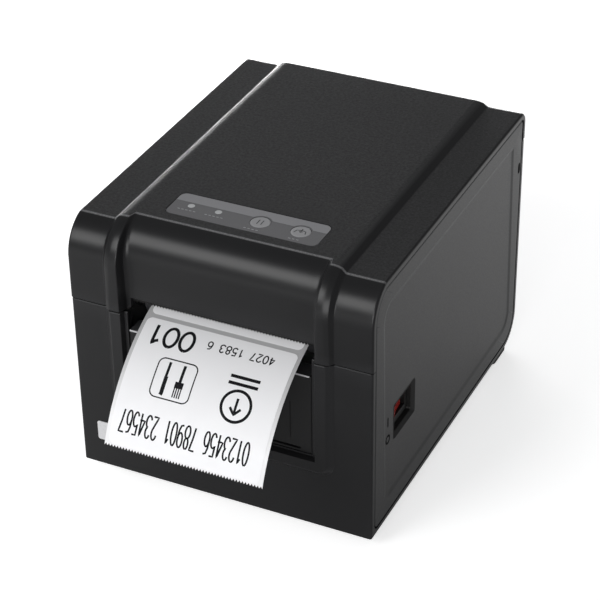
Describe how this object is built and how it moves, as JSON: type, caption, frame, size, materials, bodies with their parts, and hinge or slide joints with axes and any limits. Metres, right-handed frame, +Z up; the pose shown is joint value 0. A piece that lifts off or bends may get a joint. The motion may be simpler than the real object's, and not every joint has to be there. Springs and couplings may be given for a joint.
{
  "type": "thermal label printer",
  "caption": "Desktop clamshell label printer with a hinged cover, sprung print head, geared platen, centred roll guides, roll of labels and a fed-out printed label.",
  "frame": {"origin": "centre of the case's footprint, on the base's flat underside; the feet stand 5 mm below it", "axes": "+Z up; the label comes out towards -Y; +X is on the right of a person facing the front"},
  "size_m": [0.154, 0.2336, 0.1421],
  "materials": {
    "black_case": "fine grained black ABS",
    "side_panel": "satin dark grey ABS",
    "black_insert": "satin black ABS",
    "light_trim": "light grey",
    "badge": "pale grey plate",
    "foot_rubber": "matte rubber",
    "screw_steel": "zinc plated",
    "chassis_steel": "zinc plated sheet",
    "sensor_black": "black",
    "bush_plastic": "natural acetal",
    "shaft_steel": "ground steel",
    "motor_can": "plated can",
    "circuit_board": "solder mask",
    "socket_black": "black",
    "socket_metal": "plated shell",
    "switch_black": "black",
    "liner": "glassine liner",
    "label_paper": "thermal label stock",
    "roll_paper": "wound labels",
    "platen_rubber": "ground rubber",
    "gear_plastic": "natural acetal",
    "pinion_brass": "machined",
    "core_card": "spiral wound card",
    "guide_plastic": "dark grey ABS",
    "rocker_red": "red",
    "overlay_film": "printed film",
    "clear_lens": "clear lens",
    "tear_steel": "dark steel",
    "spring_steel": "spring wire",
    "ribbon": "ribbon cable",
    "button_grey": "grey",
    "head_aluminium": "extruded",
    "head_ceramic": "glazed alumina"
  },
  "bodies": {
    "base": {"base_shell": "black_case", "left_side_panel": "side_panel", "right_side_panel": "side_panel", "front_insert": "black_insert", "exit_guide": "light_trim", "badge_plate": "badge", "rubber_feet": "foot_rubber", "base_screws": "screw_steel", "left_chassis_plate": "chassis_steel", "right_chassis_plate": "chassis_steel", "paper_guide": "chassis_steel", "gap_sensor": "sensor_black", "platen_bushes": "bush_plastic", "idler_axle": "shaft_steel", "stepper_motor": "motor_can", "motor_screws": "screw_steel", "control_board": "circuit_board", "power_jack": "socket_black", "usb_port": "socket_metal", "serial_port": "socket_metal", "switch_housing": "switch_black", "hinge_pins": "shaft_steel", "label_web": "liner", "printed_label": "label_paper", "next_label": "label_paper"},
    "cover": {"cover_shell": "black_case", "control_overlay": "overlay_film", "status_lenses": "clear_lens", "button_board": "circuit_board", "tear_bar": "tear_steel", "head_mount": "guide_plastic", "head_pivot_pin": "shaft_steel", "head_springs": "spring_steel", "head_cable": "ribbon", "latch_pin": "shaft_steel"},
    "head": {"head_bracket": "head_aluminium", "thermal_head": "head_ceramic"},
    "latch": {"latch_hooks": "guide_plastic"},
    "pause_key": {"pause_button": "button_grey"},
    "feed_key": {"feed_button": "button_grey"},
    "platen": {"platen_roller": "platen_rubber", "platen_shaft": "shaft_steel", "platen_gear": "gear_plastic"},
    "idler": {"idler_gear": "gear_plastic"},
    "pinion": {"motor_pinion": "pinion_brass"},
    "roll": {"label_roll": "roll_paper", "roll_core": "core_card"},
    "left_guide": {"left_media_guide": "guide_plastic"},
    "right_guide": {"right_media_guide": "guide_plastic"},
    "centring_pinion": {"guide_pinion": "gear_plastic"},
    "rocker": {"power_rocker": "rocker_red"}
  },
  "joints": [
    {"name": "cover_hinge", "type": "hinge", "parent": "base", "child": "cover", "pos_m": [0, 0.09, 0.1044], "axis": [-1, 0, 0], "range_deg": [0, 90]},
    {"name": "head_tilt", "type": "hinge", "parent": "cover", "child": "head", "pos_m": [0, -0.0531, 0.1087], "axis": [-1, 0, 0], "range_deg": [0, 3], "deforming": ["head_springs"]},
    {"name": "latch_turn", "type": "hinge", "parent": "cover", "child": "latch", "pos_m": [0, -0.0731, 0.1187], "axis": [1, 0, 0], "range_deg": [-14, 0]},
    {"name": "pause_press", "type": "slide", "parent": "cover", "child": "pause_key", "axis": [0, 0, -1], "range_m": [0, 0.0005]},
    {"name": "feed_press", "type": "slide", "parent": "cover", "child": "feed_key", "axis": [0, 0, -1], "range_m": [0, 0.0005]},
    {"name": "platen_spin", "type": "hinge", "parent": "base", "child": "platen", "pos_m": [0, -0.0751, 0.0927], "axis": [1, 0, 0], "continuous": true},
    {"name": "idler_spin", "type": "hinge", "parent": "base", "child": "idler", "pos_m": [-0.057, -0.06853, 0.07466], "axis": [1, 0, 0], "continuous": true},
    {"name": "pinion_spin", "type": "hinge", "parent": "base", "child": "pinion", "pos_m": [-0.057, -0.06619, 0.05238], "axis": [1, 0, 0], "continuous": true},
    {"name": "roll_spin", "type": "hinge", "parent": "base", "child": "roll", "pos_m": [0.003, 0.021, 0.0593], "axis": [1, 0, 0], "continuous": true},
    {"name": "left_guide_slide", "type": "slide", "parent": "base", "child": "left_guide", "axis": [-1, 0, 0], "range_m": [0, 0.008]},
    {"name": "right_guide_slide", "type": "slide", "parent": "base", "child": "right_guide", "axis": [1, 0, 0], "range_m": [0, 0.008]},
    {"name": "centring_pinion_turn", "type": "hinge", "parent": "base", "child": "centring_pinion", "pos_m": [0.003, 0.021, 0.0031], "axis": [0, 0, -1], "range_deg": [0, 66]},
    {"name": "rocker_tip", "type": "hinge", "parent": "base", "child": "rocker", "pos_m": [0.0678, -0.0567, 0.0506], "axis": [0, 0, -1], "range_deg": [0, 19]}
  ],
  "couplings": [
    {"joint": "idler_spin", "follows": "platen_spin", "ratio": -1.6667},
    {"joint": "pinion_spin", "follows": "platen_spin", "ratio": 4.1667},
    {"joint": "roll_spin", "follows": "platen_spin", "ratio": 0.1684},
    {"joint": "right_guide_slide", "follows": "left_guide_slide", "ratio": 1},
    {"joint": "centring_pinion_turn", "follows": "left_guide_slide", "rad_per_m": 142.86}
  ]
}
